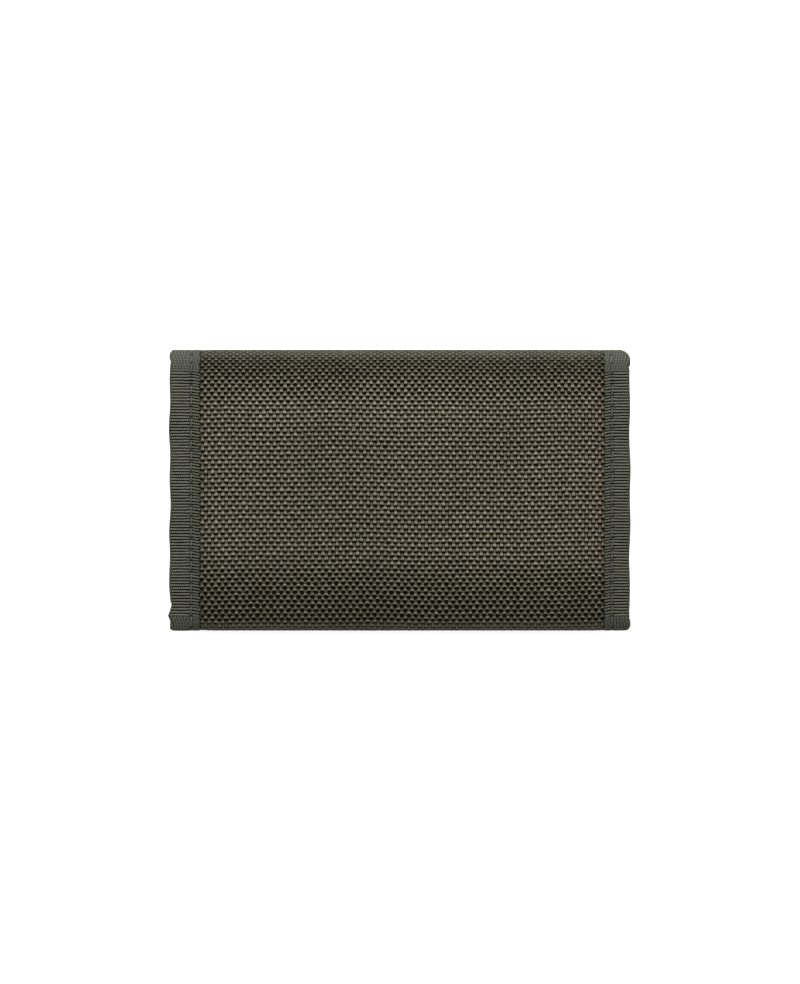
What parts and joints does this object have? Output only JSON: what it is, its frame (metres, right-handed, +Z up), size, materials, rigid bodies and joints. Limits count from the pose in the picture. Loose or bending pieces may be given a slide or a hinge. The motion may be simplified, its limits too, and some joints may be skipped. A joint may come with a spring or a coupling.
{
  "type": "bifold wallet",
  "caption": "Bifold wallet in olive ballistic weave with ribbed tape bindings at both ends, card pockets, a bill compartment, a zipped coin pocket and a hook and loop closure.",
  "frame": {"origin": "middle of the closed wallet's footprint, on the surface it lies on", "axes": "+X along the fold towards the closed side, +Y towards the fold, +Z up; the back leaf's outer face points up"},
  "size_m": [0.13, 0.0794, 0.0134],
  "materials": {
    "shell_cloth": "heavy ballistic nylon weave, olive brown, slight sheen",
    "binding_tape": "grosgrain ribbed tape, grey green",
    "lining": "thin coated nylon, dark olive",
    "pocket_cloth": "medium nylon weave, olive brown",
    "foam": "soft closed cell interlining",
    "hook_tape": "woven tape with stiff hooks",
    "loop_tape": "woven tape with soft loops",
    "zip_tape": "woven zipper tape, near black",
    "zip_coil": "nylon coil",
    "zip_metal": "dark enamel"
  },
  "bodies": {
    "front_leaf": {"coin_pocket_lower_panel": "pocket_cloth", "coin_pocket_upper_panel": "pocket_cloth", "front_foam": "foam", "front_inner_panel": "lining", "front_mouth_binding": "binding_tape", "front_panel_binding": "binding_tape", "front_shell": "shell_cloth", "front_shell_lining": "lining", "front_side_binding": "binding_tape", "hook_strip": "hook_tape", "zipper_bottom_stop": "zip_metal", "zipper_coil_lower": "zip_coil", "zipper_coil_upper": "zip_coil", "zipper_end_tabs": "binding_tape", "zipper_tape_lower": "zip_tape", "zipper_tape_upper": "zip_tape", "zipper_top_stops": "zip_metal"},
    "spine": {"spine_foam": "foam", "spine_inner_panel": "lining", "spine_mouth_binding": "binding_tape", "spine_panel_binding": "binding_tape", "spine_shell": "shell_cloth", "spine_shell_lining": "lining", "spine_side_binding": "binding_tape"},
    "back_leaf": {"back_foam": "foam", "back_inner_panel": "lining", "back_mouth_binding": "binding_tape", "back_panel_binding": "binding_tape", "back_shell": "shell_cloth", "back_shell_lining": "lining", "back_side_binding": "binding_tape", "card_pocket_front": "pocket_cloth", "card_pocket_front_tape": "binding_tape", "card_pocket_middle": "pocket_cloth", "card_pocket_middle_tape": "binding_tape", "card_pocket_rear": "pocket_cloth", "card_pocket_rear_tape": "binding_tape", "loop_strip": "loop_tape"},
    "slider": {"zipper_slider": "zip_metal"},
    "pull": {"zipper_pull": "zip_metal"}
  },
  "joints": [
    {"name": "fold_front", "type": "hinge", "parent": "front_leaf", "child": "spine", "pos_m": [0, 0.03831, 0.00144], "axis": [-1, 0, 0], "range_deg": [0, 90]},
    {"name": "fold_back", "type": "hinge", "parent": "spine", "child": "back_leaf", "pos_m": [0, 0.03831, 0.01196], "axis": [-1, 0, 0], "range_deg": [0, 90]},
    {"name": "zip_slide", "type": "slide", "parent": "front_leaf", "child": "slider", "axis": [1, 0, 0], "range_m": [0, 0.0897]},
    {"name": "pull_swing", "type": "hinge", "parent": "slider", "child": "pull", "pos_m": [-0.0398, 0.01405, 0.00592], "axis": [0, -1, 0], "range_deg": [0, 10]}
  ],
  "couplings": [
    {"joint": "fold_back", "follows": "fold_front", "ratio": 1}
  ]
}
